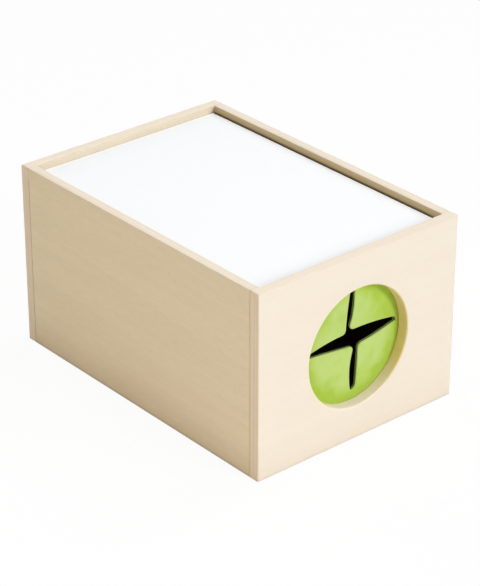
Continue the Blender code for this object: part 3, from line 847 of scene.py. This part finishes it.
def screw_mesh(name, head_radius, length):
    """Countersunk wood screw about the z axis, its head's flat face at the top."""
    shank = SCREW_SHANK_RADIUS
    profile = [(0, 0), (head_radius, 0), (shank, -SCREW_HEAD_HEIGHT), (shank, SCREW_POINT - length),
               (0, -length)]
    bm = bmesh.new()
    verts = [bm.verts.new((radius, 0, height)) for radius, height in profile]
    edges = [bm.edges.new(pair) for pair in zip(verts, verts[1:])]
    bmesh.ops.spin(bm, geom=verts + edges, cent=(0, 0, 0), axis=(0, 0, 1), angle=math.tau,
                   steps=SCREW_STEPS, use_merge=True)
    bmesh.ops.remove_doubles(bm, verts=bm.verts, dist=MERGE_DISTANCE)
    return finish_mesh(name, bm)


def cross_recess():
    """Cutter for the driver's cross, which narrows towards its bottom."""
    corner = [(RECESS_REACH, -RECESS_HALF_WIDTH), (RECESS_REACH, RECESS_HALF_WIDTH),
              (RECESS_HALF_WIDTH, RECESS_HALF_WIDTH)]
    turns = [Matrix.Rotation(QUARTER_TURN * arm, 2) for arm in range(RECESS_ARMS)]
    outline = [turn @ Vector(point) for turn in turns for point in corner]
    bm = bmesh.new()
    rings = []
    for depth, width in ((-RECESS_DEPTH, 1 + RECESS_TAPER), (RECESS_DEPTH, 1 - RECESS_TAPER)):
        rings.append([bm.verts.new((*(point * width), -depth)) for point in outline])
    top, bottom = rings
    bm.faces.new(top)
    bm.faces.new(bottom)
    for i in range(len(outline)):
        bm.faces.new((top[i - 1], top[i], bottom[i], bottom[i - 1]))
    return add_object("cross_recess", finish_mesh("cross_recess", bm))


def add_screws(end_name, outwards, steel):
    """Screws of one clamp ring, heads towards the middle of the box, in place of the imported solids."""
    for node in nodes_named(f"{end_name}_ring_screw"):
        low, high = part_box(node)
        middle = (low + high) / 2
        head_face = Vector((middle.x, low.y if outwards > 0 else high.y, middle.z))
        turn = Matrix.Rotation(QUARTER_TURN * outwards, 4, "X")
        screw = add_object(f"{node}_recessed", screw_mesh(node, (high.x - low.x) / 2, high.y - low.y))
        screw.data.materials.append(steel)
        cutter = cross_recess()
        carve(screw, cutter)
        bpy.data.meshes.remove(cutter.data)
        screw.matrix_world = Matrix.Translation(head_face) @ turn
        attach(screw, "box")
        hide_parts(node)


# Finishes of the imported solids


def dress(node, material):
    """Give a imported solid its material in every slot."""
    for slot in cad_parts[node].material_slots:
        slot.material = material


def dress_wood():
    """Plywood on the walls, clamp rings and floor, and beech on the ledges and dowels."""
    # The sides' stronger figure also deepens their darkening towards the bottom and their painted contact
    # shade
    end_figure, side_figure = 0.6, 1.6
    lid_low, lid_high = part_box("lid")
    boards = []
    for end_name, outwards in (("front", -1), ("rear", 1)):
        ring = Board(f"{end_name}_clamp_ring", Y, outwards, X, END_BIRCH, END_INSIDE_BIRCH, lid_low.z)
        boards.append(ring._replace(node=f"{end_name}_panel", figure=end_figure, bored=True))
        boards.append(ring)
    # The side panels are painted dark up to the lid's top, as shade in the lid's gap; the ends, rings and
    # floor only up to the lid's underside
    for panel, outwards in (("left_panel", -1), ("right_panel", 1)):
        boards.append(Board(panel, X, outwards, Y, SIDE_BIRCH_WITH_WARM_SHADE, SIDE_INSIDE_SHADED_BIRCH, lid_high.z, side_figure))
    boards.append(Board("floor", Z, -1, Y, SIDE_BIRCH_WITH_WARM_SHADE, SIDE_INSIDE_SHADED_BIRCH, lid_low.z))
    for board in boards:
        dress(board.node, birch_plywood(board))
    strip = beech("beech strip", Y)
    for node in nodes_named("_ledge") + nodes_named("dowel_"):
        dress(node, strip)


# Studio


def direction(azimuth, elevation):
    """Unit vector from the object; azimuth, in degrees, turns from the front end towards its right."""
    azimuth, elevation = math.radians(azimuth), math.radians(elevation)
    level = math.cos(elevation)
    return Vector((math.sin(azimuth) * level, -math.cos(azimuth) * level, math.sin(elevation)))


def aim(thing, target, azimuth, elevation, distance):
    """Set a camera or lamp at a distance from a target, looking at it."""
    away = direction(azimuth, elevation)
    thing.location = target + away * distance
    thing.rotation_euler = (-away).to_track_quat("-Z", "Y").to_euler()


def add_camera():
    """The photograph's view, with the lens reckoned by the picture's height."""
    data = bpy.data.cameras.new("camera")
    data.sensor_fit = "VERTICAL"
    data.sensor_height = SENSOR_HEIGHT
    data.lens = LENS
    camera = add_object("camera", data)
    aim(camera, CAMERA_TARGET, CAMERA_AZIMUTH, CAMERA_ELEVATION, CAMERA_DISTANCE)
    bpy.context.scene.camera = camera


class Lamp(NamedTuple):
    """A square soft box that faces the object."""

    name: str
    azimuth: float  # degrees, as is the elevation
    elevation: float
    distance: float  # metres, as is the size
    size: float
    power: float  # watts
    colour: str


LAMPS = (
    Lamp("key", 19, 23, 6.0, 2.4, 212, WHITE),
    Lamp("front_fill", -52, 10, 0.9, 0.6, 0.8, "#FFFBF2"),
    Lamp("left_fill", -88, 8, 1.3, 0.8, 2.1, WHITE),
    Lamp("top", 0, 85, 1.6, 1.2, 12.2, WHITE),
    Lamp("right_fill", 90, 50, 6.0, 2.2, 85, WHITE),
    Lamp("rear_fill", 185, 20, 6.0, 4.0, 155, WHITE),
)
AMBIENT = 0.02


def add_lamps():
    """Soft boxes round the box, each facing its middle."""
    for lamp in LAMPS:
        data = bpy.data.lights.new(lamp.name, "AREA")
        data.size = lamp.size
        data.energy = lamp.power
        data.color = linear_colour(lamp.colour)[:3]
        thing = add_object(lamp.name, data)
        aim(thing, BOX_MIDDLE, lamp.azimuth, lamp.elevation, lamp.distance)


def add_floor():
    """A round sheet of paper under the box."""
    bm = bmesh.new()
    bmesh.ops.create_circle(bm, cap_ends=True, segments=FLOOR_STEPS, radius=FLOOR_RADIUS)
    mesh = finish_mesh("studio_floor", bm)
    mesh.materials.append(white_paper_floor())
    add_object("studio_floor", mesh, Matrix.Translation((0, 0, box_low.z)))


def light_world():
    """White surroundings to the eye, and a much weaker even light on the object."""
    world = bpy.data.worlds.new("white studio")
    world.use_nodes = True
    tree = world.node_tree
    strength = add_node(tree, "MapRange", {"Value": seen_directly(tree), "To Min": AMBIENT, "To Max": 1})
    set_inputs(tree, tree.nodes["Background"], {"Color": linear_colour(WHITE), "Strength": strength})
    bpy.context.scene.world = world


dress_wood()
dress("lid", white_laminate("lid"))
add_covers()
zinc = zinc_steel()
add_screws("front", -1, zinc)
add_screws("rear", 1, zinc)
add_camera()
add_lamps()
add_floor()
light_world()
bpy.context.scene.view_settings.view_transform = "Standard"
